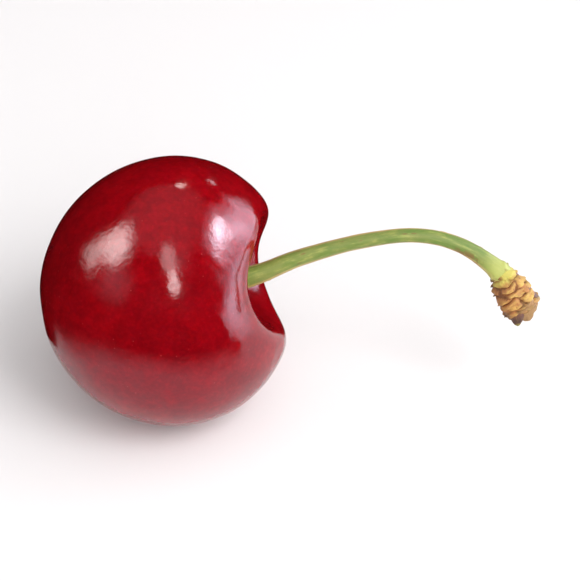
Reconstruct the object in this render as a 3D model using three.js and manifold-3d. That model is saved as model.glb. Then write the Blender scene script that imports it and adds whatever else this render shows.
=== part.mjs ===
// A ripe sweet cherry on its stalk, lying on one cheek as it came from the tree.
// Millimetres, +Z up. The origin is the middle of the small flat spot that the fruit rests on,
// and the stalk leaves the fruit towards +X.

import * as THREE from 'three';
import { mergeVertices } from 'three/addons/utils/BufferGeometryUtils.js';
import Module from 'manifold-3d';

// ---- Driving dimensions, in millimetres and degrees ----

// The fruit, in its own frame: Z is the line from the blossom end to the stalk, Y runs from cheek
// to cheek, and X is the thinner way through, with the seam on its -X side.
const CHEEK_WIDTH = 27.8;
const THICKNESS = 26.0;
const HALF_LENGTH = 13.0;
const EQUATOR = 0.6;             // the widest place lies this far from the middle, towards the stalk
const SHOULDER_FULLNESS = 0.062; // how much fuller the stalk end is than the blossom end
const END_FULLNESS = 0.06;       // how much fuller both ends are than an ellipsoid's

// The pit that the stalk grows from, and the saddle in its rim between the two cheek shoulders.
const PIT_DEPTH = 6.8;
const PIT_RADIUS = 4.85;
const PIT_STEEPNESS = 3.0;
const SADDLE_DEPTH = 2.05;
const SADDLE_RADIUS = 7.1;
const SADDLE_SEAM_SHARE = 0.12;  // the saddle is this share deeper on the seam side
const RIM_LEAN = 0.187;          // the seam side of the rim stands higher, by this slope
// Where the rim bulges over the higher cheek's shoulder, how far it rises and how wide it spreads.
const SHOULDERS = [
  { place: [-4.7, -5.6], rise: 0.75, spread: 3.2 },
  { place: [4.4, -4.4], rise: 0.6, spread: 3.0 },
];
const END_BLEND = 4;             // how quickly the stalk end's form gives way to the blossom end's

// The seam, and the scar at the blossom end.
const SEAM_DEPTH = 0.3;
const SEAM_WIDTH = 1.5;
const SCAR_DEPTH = 0.5;
const SCAR_RADIUS = 1.7;

// Broad, shallow flats that keep the fruit from being a turned shape: where each one faces
// in the fruit's frame, how deep it is, and how wide it spreads.
const SOFT_FLATS = [
  { facing: [0.35, -0.72, -0.6], depth: 0.32, spread: 0.16 },
  { facing: [0.85, 0.5, -0.15], depth: 0.22, spread: 0.1 },
  { facing: [-0.8, -0.5, 0.3], depth: 0.35, spread: 0.16 },
  { facing: [-0.6, 0.3, -0.75], depth: 0.25, spread: 0.12 },
];

// How the fruit lies: its middle above the table, the rise of its axis, and its roll on its side.
const FRUIT_MIDDLE = new THREE.Vector3(-1.3, 0.9, 13.05);
const AXIS_RISE = 8.7;
const CHEEK_ROLL = -117.7;

// The line that the stalk and its woody end follow, from the fruit's middle. It starts at the foot,
// sunk in the floor of the pit, rises clear of the rim, arches over and turns down.
const FOOT_DEPTH = 0.8;
const STALK_COURSE = [
  [10.0, -0.2, 2.05],
  [14.3, -0.05, 3.75],
  [20.5, -0.1, 5.45],
  [26.1, -0.5, 6.17],
  [30.7, -1.3, 5.22],
  [34.6, -2.5, 2.7],
  [36.3, -3.35, 0.4],
  [37.75, -4.1, -1.8],
];
const SPUR_LENGTH = 5.3;         // how much of that line, at its far end, is the woody end
const GAP = 0.3;                 // between pieces that would touch

const STALK_RADIUS = 0.71;       // at its slimmest
const FOOT_FLARE = 0.66;         // added at the foot
const FOOT_FLARE_LENGTH = 6.0;   // over which the flare dies away
const FOOT_FLANGE = 0.22;
const FOOT_FLANGE_LENGTH = 0.9;
const NECK_FLARE = 0.4;          // added at the woody end
const NECK_FLARE_LENGTH = 3.0;
const STALK_RIB = 0.05;          // share of the radius by which its three faint ribs stand out
const RIB_TWIST = 0.05;          // radians for each millimetre

const SPUR_NECK_RADIUS = 1.25;
const SPUR_RADIUS = 1.95;        // at its fattest
const SPUR_END_RADIUS = 1.35;    // at its broken end
const SPUR_SWELL = 2.2;          // the length over which it swells from the neck
const SPUR_CLOSE = 0.8;          // the length over which it closes at its broken end
const RING_SPACING = 0.85;       // of the rings of bud-scale scars
const RING_HEIGHT = 0.26;
const RING_RISE = 0.7;           // the share of a ring that rises before it drops to the next
const SPUR_UNEVENNESS = 0.12;

// Bud scales left on the woody end: how far along it and how far round each one is rooted, its
// length past its root, its width and thickness, and the degrees by which it lifts off the surface.
const BUD_SCALES = [
  { reach: 4.2, round: 152, length: 1.45, width: 1.9, thickness: 0.8, lift: 36 },
  { reach: 4.7, round: 186, length: 1.4, width: 1.9, thickness: 1.0, lift: -14 },
  { reach: 4.5, round: -145, length: 0.9, width: 1.8, thickness: 0.9, lift: -4 },
  { reach: 4.6, round: 20, length: 1.3, width: 1.7, thickness: 0.7, lift: -14 },
  { reach: 3.5, round: -84, length: 1.2, width: 2.0, thickness: 0.45, lift: 12 },
  { reach: 1.05, round: -84, length: 1.3, width: 1.2, thickness: 0.4, lift: 14 },
  { reach: 0.9, round: 86, length: 0.55, width: 0.8, thickness: 0.45, lift: 74 },
  { reach: 1.9, round: 96, length: 0.5, width: 0.8, thickness: 0.45, lift: 68 },
  { reach: 2.9, round: 98, length: 0.5, width: 0.9, thickness: 0.45, lift: 60 },
  { reach: 4.2, round: 112, length: 0.45, width: 0.7, thickness: 0.45, lift: 52 },
  { reach: 0.85, round: 78, length: 0.5, width: 0.9, thickness: 0.4, lift: 68 },
  { reach: 2.1, round: -130, length: 0.8, width: 1.1, thickness: 0.5, lift: 28 },
  { reach: 2.5, round: 15, length: 0.9, width: 1.0, thickness: 0.5, lift: 34 },
];
const SCALE_ROOT = 0.7;          // how deep a bud scale's root is sunk
const SCALE_BLUNTNESS = 3.2;     // above 1, a bud scale keeps its width towards its tip

// How finely each surface is divided.
const FRUIT_SIDES = 64;
const FRUIT_RINGS = 44;
const RING_CROWDING = 0.25;      // draws the fruit's rings together in the pit
const STALK_SIDES = 14;
const STALK_RINGS = 46;
const SPUR_SIDES = 30;
const SPUR_RINGS = 42;
const SCALE_SIDES = 8;
const SCALE_RINGS = 4;

const SURFACES = {
  fruit: { color: 0x8c0410, roughness: 0.2, metalness: 0 },
  stalk: { color: 0x8fa14f, roughness: 0.5, metalness: 0 },
  spur_end: { color: 0xb98a4a, roughness: 0.85, metalness: 0 },
};

const { degToRad, lerp, clamp, smoothstep } = THREE.MathUtils;
const wasm = await Module();
wasm.setup();

// ---- Joining, cutting and reshaping ----

// A geometry with only its corners kept, and the shared ones merged, so that it is closed.
function closed(geometry) {
  geometry.deleteAttribute('normal');
  geometry.deleteAttribute('uv');
  return mergeVertices(geometry);
}

function toSolid(geometry) {
  const vertProperties = new Float32Array(geometry.attributes.position.array);
  const triVerts = new Uint32Array(geometry.index.array);
  return new wasm.Manifold(new wasm.Mesh({ numProp: 3, vertProperties, triVerts }));
}

function toGeometry(solid) {
  const mesh = solid.getMesh();
  const geometry = new THREE.BufferGeometry();
  geometry.setAttribute('position', new THREE.BufferAttribute(mesh.vertProperties, 3));
  geometry.setIndex(new THREE.BufferAttribute(mesh.triVerts, 1));
  geometry.computeVertexNormals();
  return geometry;
}

// Moves every corner of a geometry to where placeAt sends it.
function reshape(geometry, placeAt) {
  const position = geometry.attributes.position;
  const corner = new THREE.Vector3();
  for (let i = 0; i < position.count; i++) {
    const placed = placeAt(corner.fromBufferAttribute(position, i));
    position.setXYZ(i, placed.x, placed.y, placed.z);
  }
  return geometry;
}

// ---- The fruit ----

// Presses the broad, shallow flats into a point of the skin.
function pressFlats(point) {
  const facing = point.clone().normalize();
  for (const flat of SOFT_FLATS) {
    const away = 1 - facing.dot(new THREE.Vector3(...flat.facing).normalize());
    point.multiplyScalar(1 - flat.depth / HALF_LENGTH * Math.exp(-away / flat.spread));
  }
  return point;
}

// One point of the skin, in the fruit's frame. latitude runs from a quarter turn below the equator,
// at the blossom end, to a quarter turn above it, on the floor of the pit. turn runs round the
// axis from the side away from the seam.
function skinPoint(latitude, turn) {
  const height = Math.sin(latitude);
  const spread = Math.cos(latitude) * (1 + SHOULDER_FULLNESS * height + END_FULLNESS * height ** 2);
  const x = THICKNESS / 2 * spread * Math.cos(turn);
  const y = CHEEK_WIDTH / 2 * spread * Math.sin(turn);
  const seam = Math.max(0, -Math.cos(turn)) * Math.exp(-((y / SEAM_WIDTH) ** 2));
  const groove = 1 - seam * SEAM_DEPTH / (THICKNESS / 2);
  const point = new THREE.Vector3(x * groove, y * groove, EQUATOR + HALF_LENGTH * height);

  const fromAxis = Math.hypot(point.x, point.y);
  const pit = PIT_DEPTH * Math.exp(-((fromAxis / PIT_RADIUS) ** PIT_STEEPNESS));
  const outward = (fromAxis / SADDLE_RADIUS) ** 2;
  const seamSide = 1 - SADDLE_SEAM_SHARE * Math.cos(turn);
  const saddle = SADDLE_DEPTH * seamSide * Math.cos(turn) ** 2 * outward * Math.exp(1 - outward);
  const scar = SCAR_DEPTH * Math.exp(-((fromAxis / SCAR_RADIUS) ** 2));
  const stalkEnd = 1 / (1 + Math.exp(-height * END_BLEND));
  let shoulder = 0;
  for (const { place, rise, spread: reach } of SHOULDERS) {
    const away = Math.hypot(point.x - place[0], point.y - place[1]);
    shoulder += rise * Math.exp(-((away / reach) ** 2));
  }
  point.z += (1 - stalkEnd) * scar - stalkEnd * (pit + saddle + RIM_LEAN * point.x - shoulder);
  return pressFlats(point);
}

function wholeFruit() {
  const ball = closed(new THREE.SphereGeometry(1, FRUIT_SIDES, FRUIT_RINGS).rotateX(Math.PI / 2));
  return reshape(ball, (corner) => {
    const even = Math.asin(clamp(corner.z, -1, 1));
    const latitude = even + RING_CROWDING * (1 + Math.sin(even)) * Math.cos(even);
    return skinPoint(latitude, Math.atan2(corner.y, corner.x));
  });
}

const fruitTurn = new THREE.Euler(0, degToRad(90 - AXIS_RISE), degToRad(CHEEK_ROLL));
const fruitAxis = new THREE.Vector3(0, 0, 1).applyEuler(fruitTurn);

// The table, as a block that takes off the flat spot.
function tableBlock() {
  const block = new THREE.BoxGeometry(CHEEK_WIDTH, CHEEK_WIDTH, CHEEK_WIDTH);
  return block.translate(0, 0, -FRUIT_MIDDLE.z - CHEEK_WIDTH / 2);
}

// The plain hole in the floor of the pit that the stalk's foot stands in.
function footHole() {
  const radius = stalkRadius(0, 0) + GAP;
  const length = FOOT_DEPTH + PIT_DEPTH / 3;
  const hole = new THREE.CylinderGeometry(radius, radius, length, 2 * STALK_SIDES);
  const upright = new THREE.Vector3(0, 1, 0);
  const foot = frameAt(0);
  hole.translate(0, length / 2 - GAP, 0);
  hole.applyQuaternion(new THREE.Quaternion().setFromUnitVectors(upright, foot.ahead));
  return hole.translate(foot.centre.x, foot.centre.y, foot.centre.z);
}

function fruit() {
  const intoFruit = new THREE.Matrix4().makeRotationFromEuler(fruitTurn).invert();
  const table = toSolid(closed(tableBlock().applyMatrix4(intoFruit)));
  const hole = toSolid(closed(footHole().applyMatrix4(intoFruit)));
  return toGeometry(toSolid(wholeFruit()).subtract(table).subtract(hole));
}

// ---- The stalk and its woody end ----

const pitFloor = EQUATOR + HALF_LENGTH - PIT_DEPTH;
const stalkFoot = fruitAxis.clone().multiplyScalar(pitFloor - FOOT_DEPTH);
const course = new THREE.CatmullRomCurve3(
  [stalkFoot, ...STALK_COURSE.map((knot) => new THREE.Vector3(...knot))],
  false,
  'catmullrom',
);
const stalkLength = course.getLength() - SPUR_LENGTH;

// A right-handed frame on the course, so many millimetres from the foot: sideways, ahead and below.
function frameAt(distance) {
  const along = clamp(distance / (stalkLength + SPUR_LENGTH), 0, 1);
  const centre = course.getPointAt(along);
  const ahead = course.getTangentAt(along);
  const level = new THREE.Vector3(0, 1, 0);
  const side = level.addScaledVector(ahead, -level.dot(ahead)).normalize();
  const below = new THREE.Vector3().crossVectors(side, ahead);
  return { centre, ahead, side, below };
}

function outwards(frame, turn) {
  return frame.side.clone().multiplyScalar(Math.cos(turn)).addScaledVector(frame.below, Math.sin(turn));
}

// Wraps a cylinder round a stretch of the course. radiusAt is told the millimetres from the
// piece's own start, which lies at the distance start from the foot, and the turn round it.
function sweep({ start, from, to, sides, rings, radiusAt }) {
  const rod = closed(new THREE.CylinderGeometry(1, 1, 1, sides, rings));
  return reshape(rod, (corner) => {
    const reach = lerp(from, to, corner.y + 0.5);
    const turn = Math.atan2(corner.z, corner.x);
    const frame = frameAt(start + reach);
    const radius = Math.hypot(corner.x, corner.z) * radiusAt(reach, turn);
    return frame.centre.addScaledVector(outwards(frame, turn), radius);
  });
}

function stalkRadius(reach, turn) {
  const flare = FOOT_FLARE * Math.exp(-reach / FOOT_FLARE_LENGTH);
  const flange = FOOT_FLANGE * Math.exp(-((reach / FOOT_FLANGE_LENGTH) ** 2));
  const neck = NECK_FLARE * Math.exp((reach - stalkLength) / NECK_FLARE_LENGTH);
  const rib = 1 + STALK_RIB * Math.cos(3 * (turn + RIB_TWIST * reach));
  return (STALK_RADIUS + flare + flange + neck) * rib;
}

function stalk() {
  return sweep({
    start: 0,
    from: 0,
    to: stalkLength,
    sides: STALK_SIDES,
    rings: STALK_RINGS,
    radiusAt: stalkRadius,
  });
}

// The height of the scar rings, from 0 to 1: each rises slowly towards the tip and drops at its lip.
function scarRing(reach, turn) {
  const wave = 0.22 * Math.sin(2 * turn + 0.8) + 0.16 * Math.sin(3 * turn + 1.8 * reach);
  const phase = reach / RING_SPACING + wave + 1;
  const share = phase - Math.floor(phase);
  const ring = share < RING_RISE ? share / RING_RISE : (1 - share) / (1 - RING_RISE);
  return ring * (0.75 + 0.25 * Math.sin(4 * turn + 1.4 * reach));
}

// The woody end's radius: it swells from the neck, carries its rings, and closes at its broken end.
function spurRadius(reach, turn) {
  const swell = smoothstep(reach, 0, SPUR_SWELL);
  const close = smoothstep(reach, SPUR_LENGTH - SPUR_CLOSE, SPUR_LENGTH);
  const barrel = lerp(SPUR_NECK_RADIUS, SPUR_RADIUS, swell);
  const unevenness = SPUR_UNEVENNESS * swell * Math.sin(2 * turn + reach);
  return lerp(barrel, SPUR_END_RADIUS, close) + RING_HEIGHT * (scarRing(reach, turn) - 0.5) + unevenness;
}

// One bud scale: a blunt, flattened cone with its root sunk in the woody end.
function budScale({ reach, round, length, width, thickness, lift }) {
  const cone = closed(new THREE.ConeGeometry(1, 1, SCALE_SIDES, SCALE_RINGS));
  const blade = reshape(cone, (corner) => {
    const up = corner.y + 0.5;
    const blunt = up < 1 ? (1 - up ** SCALE_BLUNTNESS) / (1 - up) : 1;
    const across = corner.x * blunt * width / 2;
    return new THREE.Vector3(across, up * (length + SCALE_ROOT), corner.z * thickness / 2);
  });
  const frame = frameAt(stalkLength + reach);
  const turn = degToRad(round);
  const tilt = degToRad(lift);
  const out = outwards(frame, turn);
  const tip = frame.ahead.clone().multiplyScalar(Math.cos(tilt)).addScaledVector(out, Math.sin(tilt));
  const across = new THREE.Vector3().crossVectors(tip, out).normalize();
  const face = new THREE.Vector3().crossVectors(across, tip);
  const root = frame.centre.addScaledVector(out, spurRadius(reach, turn) - thickness / 2);
  root.addScaledVector(tip, -SCALE_ROOT);
  return blade.applyMatrix4(new THREE.Matrix4().makeBasis(across, tip, face).setPosition(root));
}

function spurEnd() {
  const core = sweep({
    start: stalkLength,
    from: GAP,
    to: SPUR_LENGTH,
    sides: SPUR_SIDES,
    rings: SPUR_RINGS,
    radiusAt: spurRadius,
  });
  const withScale = (solid, scale) => solid.add(toSolid(budScale(scale)));
  return toGeometry(BUD_SCALES.reduce(withScale, toSolid(core)));
}

// ---- The cherry ----

function named(name, geometry) {
  const mesh = new THREE.Mesh(geometry, new THREE.MeshStandardMaterial(SURFACES[name]));
  mesh.name = name;
  return mesh;
}

const fruitMesh = named('fruit', fruit());
fruitMesh.rotation.copy(fruitTurn);

const cherry = new THREE.Group();
cherry.add(fruitMesh, named('stalk', stalk()), named('spur_end', spurEnd()));
cherry.position.copy(FRUIT_MIDDLE);

const part = new THREE.Group();
part.add(cherry);

export default part;
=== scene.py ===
import math

import bpy
import numpy as np
from bpy.types import Operator, Panel, PropertyGroup
from mathutils import Matrix, Vector


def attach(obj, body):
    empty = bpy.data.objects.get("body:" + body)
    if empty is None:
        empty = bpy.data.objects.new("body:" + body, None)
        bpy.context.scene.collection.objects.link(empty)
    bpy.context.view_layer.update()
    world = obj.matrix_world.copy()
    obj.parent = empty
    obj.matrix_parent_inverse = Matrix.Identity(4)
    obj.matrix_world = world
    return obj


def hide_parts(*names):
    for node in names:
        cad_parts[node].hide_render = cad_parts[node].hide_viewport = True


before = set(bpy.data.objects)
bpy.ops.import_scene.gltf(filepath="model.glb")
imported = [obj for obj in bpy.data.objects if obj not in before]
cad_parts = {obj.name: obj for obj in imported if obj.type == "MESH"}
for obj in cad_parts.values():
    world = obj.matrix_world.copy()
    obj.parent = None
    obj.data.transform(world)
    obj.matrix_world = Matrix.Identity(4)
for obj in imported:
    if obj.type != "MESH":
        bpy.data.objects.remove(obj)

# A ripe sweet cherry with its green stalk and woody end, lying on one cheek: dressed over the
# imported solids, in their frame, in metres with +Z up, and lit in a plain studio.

bl_info = {
    "name": "Cherry on its stalk",
    "version": (1, 0, 0),
    "blender": (4, 5, 0),
    "location": "View3D > Sidebar > Cherry",
    "description": "Builds a sweet cherry with its stalk and woody end, and a small studio",
    "category": "Add Mesh",
}

MM = 0.001
FULL_TURN = 2 * math.pi

# ---- Shape, in millimetres and degrees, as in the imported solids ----

EQUATOR = 0.6  # from the middle to the widest place, towards the stalk
SHOULDER_FULLNESS = 0.062  # how much fuller the stalk end is than the blossom end
END_FULLNESS = 0.06  # how much fuller both ends are than an ellipsoid's
PIT_STEEPNESS = 3
SADDLE_RADIUS = 7.1
SADDLE_SEAM_SHARE = 0.12
RIM_LEAN = 0.187
# Where the rim bulges over the higher cheek's shoulder, how far it rises and how wide it spreads.
SHOULDERS = [
    ((-4.7, -5.6), 0.75, 3.2),
    ((4.4, -4.4), 0.6, 3),
]
END_BLEND = 4
SEAM_WIDTH = 1.5
SCAR_DEPTH = 0.5
SCAR_RADIUS = 1.7
# Where each broad, shallow flat faces in the fruit's frame, how deep it is, how wide it spreads.
SOFT_FLATS = [
    ((0.35, -0.72, -0.6), 0.32, 0.16),
    ((0.85, 0.5, -0.15), 0.22, 0.1),
    ((-0.8, -0.5, 0.3), 0.35, 0.16),
    ((-0.6, 0.3, -0.75), 0.25, 0.12),
]

FRUIT_MIDDLE = np.array([-1.3, 0.9, 13.05])
AXIS_RISE = 8.7
CHEEK_ROLL = -117.7

# The line that the stalk and its woody end follow, from the fruit's middle.
FOOT_DEPTH = 0.8
STALK_COURSE = [
    (10, -0.2, 2.05),
    (14.3, -0.05, 3.75),
    (20.5, -0.1, 5.45),
    (26.1, -0.5, 6.17),
    (30.7, -1.3, 5.22),
    (34.6, -2.5, 2.7),
    (36.3, -3.35, 0.4),
    (37.75, -4.1, -1.8),
]
SPUR_LENGTH = 5.3

FOOT_FLARE_LENGTH = 6
FOOT_FLANGE = 0.22
FOOT_FLANGE_LENGTH = 0.9
NECK_FLARE_LENGTH = 3
RIBS = 3
RIB_TWIST = 0.05

SPUR_NECK_RADIUS = 1.25
SPUR_END_RADIUS = 1.35
SPUR_SWELL = 2.2
SPUR_CLOSE = 0.8
RING_SPACING = 0.85
RING_RISE = 0.7
SPUR_UNEVENNESS = 0.12

# Bud scales: how far along the woody end and how far round each is rooted, its length, width and
# thickness, the degrees by which it lifts, and whether it has dried dark.
BUD_SCALES = [
    (4.2, 152, 1.45, 1.9, 0.8, 36, True),
    (4.7, 186, 1.4, 1.9, 1, -14, False),
    (4.5, -145, 0.9, 1.8, 0.9, -4, False),
    (4.6, 20, 1.3, 1.7, 0.7, -14, False),
    (3.5, -84, 1.2, 2, 0.45, 12, True),
    (1.05, -84, 1.3, 1.2, 0.4, 14, True),
    (0.9, 86, 0.55, 0.8, 0.45, 74, True),
    (1.9, 96, 0.5, 0.8, 0.45, 68, True),
    (2.9, 98, 0.5, 0.9, 0.45, 60, False),
    (4.2, 112, 0.45, 0.7, 0.45, 52, True),
    (0.85, 78, 0.5, 0.9, 0.4, 68, False),
    (2.1, -130, 0.8, 1.1, 0.5, 28, False),
    (2.5, 15, 0.9, 1, 0.5, 34, False),
]
SCALE_ROOT = 0.7
SCALE_BLUNTNESS = 3.2

# ---- Small forms that only the visual model has, in millimetres ----

FINE_SWELL = 0.35  # with the dents, as a share of the skin's swelling
DENTS = 0.8
LIP = (1.95, 0.3)  # radius and width of the skin's lip round the stalk's foot
PIT_FOLDS = (17, 0.05, 3, 1.1)  # how many, their height, radius and spread
NUB = (0.22, 0.34)  # height and width of the nub in the scar at the blossom end
NUB_GROOVE = (0.12, 0.75, 0.28)  # depth, radius and width of the groove round it

STALK_WRINKLE = 0.016
STALK_LUMP = 0.03
STALK_PORE = 0.04
NECK_LIP = (0.1, 0.28)  # height and width of the lip where the stalk leaves the wood
FOOT_FLUTES = (5, 0.07, 1.6)  # how many, their height and length
NECK_OVERLAP = 0.3  # how far the stalk reaches into the wood

SCAR_ROW = 0.95  # from row to row of worn bud-scale scars
SCARS_ROUND = 5
SCAR_SLANT = (-0.1, 0.75)
SCAR_SEED = 35
SCAR_FOLD_HEIGHT = 0.24
SCAR_TILT_HEIGHT = 0.12
SCAR_OVERHANG = 0.05
RING_KEPT = 0.45  # the share of the rings' height that is left all round
RING_LIP = 0.6  # and the share that is added where the lips stand proud
CAP_RINGS = 10
TORN_HEIGHT = 0.22
TORN_RIM = 0.25
HOLLOW_DEPTH = 0.5
HUB_DEPTH = 0.45

SCALE_CUP = 0.44
SCALE_CURL = 0.16
SCALE_GRAIN = 0.05
SCALE_SIDE_TEAR = 0.09
SCALE_TIP_TEAR = 0.14

# ---- How finely each surface is divided ----

FRUIT_SIDES = 320
FRUIT_RINGS = 240
RING_CROWDING = 0.25  # how strongly the fruit's rings crowd together in the pit
STALK_SIDES = 56
STALK_RINGS = 420
SPUR_SIDES = 168
SPUR_RINGS = 240
SCALE_COLUMNS = 20
SCALE_ROWS = 26
COURSE_STEPS = 240  # between two points of the stalk's course
CARD_COLUMNS = 200

# ---- Which way the colours turn ----

# The side of the fruit that painted shade darkens to the ripe red.
SHADED_SIDE = (0.85, 0.37, 0.37)  # of the fruit
BLUSH_EDGE = (-0.62, 0.79, 0)  # round the stalk
# The side of the woody end that is painted lit, with painted shade on the side away from it.
LIT_SIDE = (0.25, -1, 0)  # of the woody end

# ---- The studio ----

FLOOR_SPAN = 900
# How far right of the fruit's middle and how far above it the camera aims.
CAMERA_AIM = (13.27, 0.32)
LAMP_DISTANCE = 500
# Each lamp's azimuth from the camera's side and elevation, how many degrees wide and high it is,
# its radiance, the share of its width over which it fades, how warm it is, and its own distance.
# In gloss alone:
GLOSS_LAMPS = {
    "left_window_high": (-88, 45, 42, 38, 13, 0.42, 1),
    "left_window_low": (-97, 26, 32, 28, 6, 0.42, 1),
    "left_glow": (-60, 28, 50, 46, 0.75, 0.5, 0),
    "front_lamp_high": (27, 60, 24, 36, 5, 0.42, 1),
    "front_lamp_low": (26, 42, 21, 26, 14, 0.42, 1),
    "right_panel": (116, 8, 44, 44, 3.8, 0.3, -0.9),
    "right_lamp": (102, 24, 40, 50, 4, 0.4, -0.5),
    "right_lamp_core": (103.5, 31, 15, 19, 21, 0.5, 0),
    "right_lamp_tail": (97.5, 25, 15, 22, 18, 0.5, -0.2),
    "right_lamp_low": (91, -1, 60, 31, 4.7, 0.6, -0.9, 60),
    "back_lamp": (163, 47, 11, 10, 10, 0.4, 1),
    "back_lamp_small": (149, 24, 9, 6, 5, 0.45, 0),
}
# In soft light alone:
LIGHT_LAMPS = {
    "soft_light": (85, 42, 60, 60, 1, 0.2, 0),
    "key_light": (45, 50, 34, 34, 6.5, 0.2, 0),
    "front_fill": (20, 30, 60, 36, 2.8, 0.2, 0),
}
# The dark card round the fruit: azimuth, radius, height, and the share of CARD_FOOT's heights over
# which its foot fades in.
CARD_COURSE = [
    (-243, 23, 24, 0.03), (-232, 19, 26, 0.03), (-205, 17, 27, 0.03), (-185, 16.5, 33, 0.03),
    (-125, 16, 33, 0.03), (-112, 17, 25, 0.03), (-92, 19, 23, 0.05), (-84, 20, 22, 0.9),
    (-70, 21, 22, 1), (-56, 25, 22, 1), (-42, 28, 22, 1.2), (-28, 29, 22, 1),
    (0, 30, 22, 1), (52, 30, 22, 1), (60, 31, 20, 0.95), (64, 31, 11, 0.85),
    (72, 32, 10.5, 0.85),
]
CARD_FOOT = [(0, 0), (2, 0.28), (5, 0.45), (8, 0.92), (10.5, 1)]  # height and how dense it is
CARD_TOP = [(-2, 1), (0, 0)]  # the same, from its top
CARD_LIFT = 0.05
SOFT_LIGHT = 0.72  # from all round
LIGHT_LEAN = (0.3, -0.35)  # how much more of it comes from the right and from the front
ROOM_LIGHT = 0.008  # in gloss, and at the rim and middle of the ceiling
CEILING_LIGHT = (0.26, 0.42)


# ---- Sizes and colours that a user would change ----

def number(name, description, default, **options):
    return bpy.props.FloatProperty(name=name, description=description, default=default, **options)


def length(name, description, millimetres):
    return number(name, description, millimetres * MM, min=0, unit="LENGTH", subtype="DISTANCE",
                  precision=5)


def angle(name, description, degrees):
    return number(name, description, math.radians(degrees), unit="ROTATION", subtype="ANGLE")


def colour(name, description, *default):
    return bpy.props.FloatVectorProperty(name=name, description=description, default=default,
                                         size=3, min=0, max=1, subtype="COLOR")


class CherryFruitSettings(PropertyGroup):
    cheek_width: length("Cheek width", "From cheek to cheek", 27.8)
    thickness: length("Thickness", "The thinner way, from seam to front", 26)
    half_length: length("Half length", "Half the fruit's length", 13)
    pit_depth: length("Pit depth", "Depth of the pit round the stalk", 6.8)
    pit_radius: length("Pit radius", "Radius of the pit half way down", 4.85)
    saddle_depth: length("Saddle depth", "Depth of the saddle in the pit's rim", 2.05)
    seam_depth: length("Seam depth", "Depth of the seam down the far side", 0.3)
    collar: length("Collar", "Height of the skin's lip round the stalk", 0.22)
    swell: length("Swelling", "Height of the skin's soft swellings", 0.05)
    skin: colour("Skin", "Main red of the skin", 0.265, 0.0004, 0.0035)
    ripe: colour("Ripest skin", "Dark red of the ripest skin", 0.12, 0.0002, 0.002)
    bright: colour("Brighter skin", "Red where less pigment lies", 0.39, 0.0018, 0.006)
    speck: colour("Specks", "Pale breathing specks", 0.62, 0.1, 0.09)
    tissue: colour("Pit ring", "Ochre tissue round the stalk's foot", 0.42, 0.22, 0.06)


class CherryStalkSettings(PropertyGroup):
    radius: length("Radius", "Radius of the stalk at its slimmest", 0.71)
    foot_flare: length("Foot flare", "Added to the radius at the foot", 0.66)
    neck_flare: length("Neck flare", "Added to the radius at the woody end", 0.4)
    rib: number("Ribs", "Share of the radius by which the ribs stand out", 0.05,
                min=0, max=1, subtype="FACTOR")
    green: colour("Green", "Fresh green of the stalk", 0.15, 0.222, 0.04)
    pale: colour("Pale green", "Yellow-green of the ribs and neck", 0.42, 0.44, 0.11)
    deep: colour("Deep green", "Green in the hollows", 0.085, 0.175, 0.024)
    blush: colour("Blush", "Pink-brown blush along its edges", 0.58, 0.37, 0.15)
    fleck: colour("Flecks", "Brown flecks on the stalk", 0.2, 0.1, 0.03)


class CherryWoodyEndSettings(PropertyGroup):
    radius: length("Radius", "Radius of the woody end at its fattest", 1.95)
    ring_height: length("Ring height", "Height of the bud-scale scar rings", 0.26)
    roughness: length("Roughness", "Height of the bark's unevenness", 0.09)
    tan: colour("Tan", "Main tan of the bark", 0.46, 0.24, 0.06)
    # Painted highlight: laid on the raised lips of the scars on the lit side.
    ochre: colour("Ochre", "Ochre on the lips of the scars", 0.62, 0.41, 0.1)
    # Painted shade in the bark's low creases and round the stalk's foot on the shaded side; it also
    # darkens random patches and small pits.
    crease: colour("Creases", "Orange-brown in the creases", 0.2, 0.065, 0.012)
    # Painted shade: laid over the side of the woody end turned from the light.
    ruddy_shade: colour("Ruddy side", "Orange of its shaded side", 0.42, 0.17, 0.045)
    weathered: colour("Weathered", "Dull brown near the broken end", 0.27, 0.16, 0.06)
    young: colour("Young wood", "Yellow-green next to the stalk", 0.5, 0.46, 0.08)
    dried: colour("Dried scales", "Dark brown of the dried bud scales", 0.06, 0.025, 0.022)
    purple: colour("Scale roots", "Dull purple at the dried scales' roots", 0.15, 0.045, 0.045)


class CherryStudioSettings(PropertyGroup):
    floor: colour("Floor", "Pale surface under the cherry", 0.79, 0.775, 0.785)
    lens: number("Lens", "Focal length of the camera", 120.2, min=10, unit="CAMERA")
    camera_distance: length("Camera distance", "From the camera to the fruit's middle", 200)
    camera_azimuth: angle("Camera azimuth", "Its way round the cherry", -4.78)
    camera_elevation: angle("Camera elevation", "Its height above level", 38)
    light: number("Light", "Strength of the studio lamps", 1, min=0)


# ---- Meshes ----

def add_mesh(name, points, faces, places=None, **masks):
    """A smooth mesh of points in millimetres, with a texture place and masks for each point."""
    mesh = bpy.data.meshes.new(name)
    mesh.from_pydata((points * MM).tolist(), [], faces)
    mesh.update()
    mesh.polygons.foreach_set("use_smooth", [True] * len(mesh.polygons))
    if places is not None:
        layer = mesh.attributes.new("place", "FLOAT_VECTOR", "POINT")
        layer.data.foreach_set("vector", np.asarray(places, np.float32).ravel())
    for key, values in masks.items():
        layer = mesh.attributes.new(key, "FLOAT", "POINT")
        layer.data.foreach_set("value", np.asarray(values, np.float32).ravel())
    return add_object(name, mesh)


def add_object(name, data):
    made = bpy.data.objects.new(name, data)
    bpy.context.scene.collection.objects.link(made)
    return made


def ring_faces(rings, sides):
    """Quads between rings of points, with a fan of triangles at each end point."""
    afters = [(side + 1) % sides for side in range(sides)]
    faces = []
    for low in range(0, (rings - 1) * sides, sides):
        for side, after in enumerate(afters):
            faces.append((low + side, low + after, low + sides + after, low + sides + side))
    first = rings * sides
    top = first - sides
    for side, after in enumerate(afters):
        faces.append((first, after, side))
        faces.append((first + 1, top + side, top + after))
    return faces


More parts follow.
